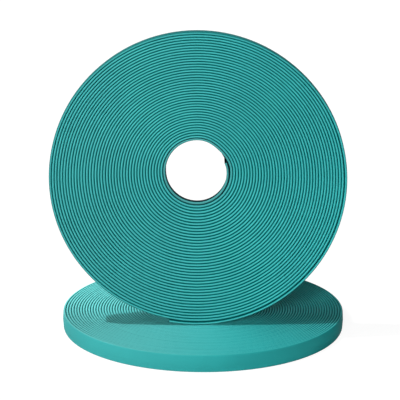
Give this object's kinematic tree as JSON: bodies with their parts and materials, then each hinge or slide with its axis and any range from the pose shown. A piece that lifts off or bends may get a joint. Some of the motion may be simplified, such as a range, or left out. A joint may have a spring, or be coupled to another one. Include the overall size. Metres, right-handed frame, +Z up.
{
  "type": "flat soaker hose roll pair",
  "caption": "Lay-flat soaker hose with bare cut ends, wound edge-on into flat rolls: one lies on its side and the other stands upright on it.",
  "frame": {"origin": "on the resting surface, midway between the two rolls' axes, which is the middle of the pair's box seen from above", "axes": "+Z up from the resting surface, -Y towards the open face of the standing roll, +X to the right of someone who looks at that face"},
  "size_m": [0.3304, 0.3274, 0.3477],
  "materials": {
    "hose": "satin, teal, slightly grainy"
  },
  "bodies": {
    "lying_roll": {"lying_roll": "hose"},
    "standing_roll": {"standing_roll": "hose"}
  },
  "joints": [
    {"name": "standing_roll_lift", "type": "slide", "parent": "lying_roll", "child": "standing_roll", "axis": [0, 0, 1], "range_m": [0, 0.15]}
  ]
}
